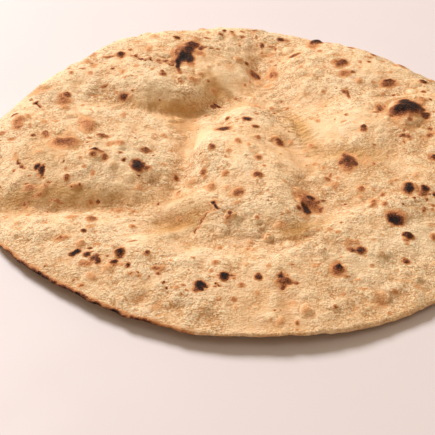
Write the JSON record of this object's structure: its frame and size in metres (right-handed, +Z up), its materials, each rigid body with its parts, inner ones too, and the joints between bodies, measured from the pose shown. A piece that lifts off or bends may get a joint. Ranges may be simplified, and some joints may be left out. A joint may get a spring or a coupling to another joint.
{
  "type": "chapati flatbread",
  "caption": "Round unleavened flatbread, puffed into low mounds with tight valleys between them, browned and charred in spots, with a thin rounded rim and a flat underside.",
  "frame": {"origin": "on the resting plane, under the middle of the bread", "axes": "+Z up, through the thickness; +X to the right and +Y to the back, with the tallest mound at the back left"},
  "size_m": [0.2029, 0.2017, 0.0186],
  "materials": {
    "crust": "dry baked whole-wheat crust with brown and black scorch spots"
  },
  "bodies": {
    "root": {"chapati": "crust"}
  },
  "joints": []
}
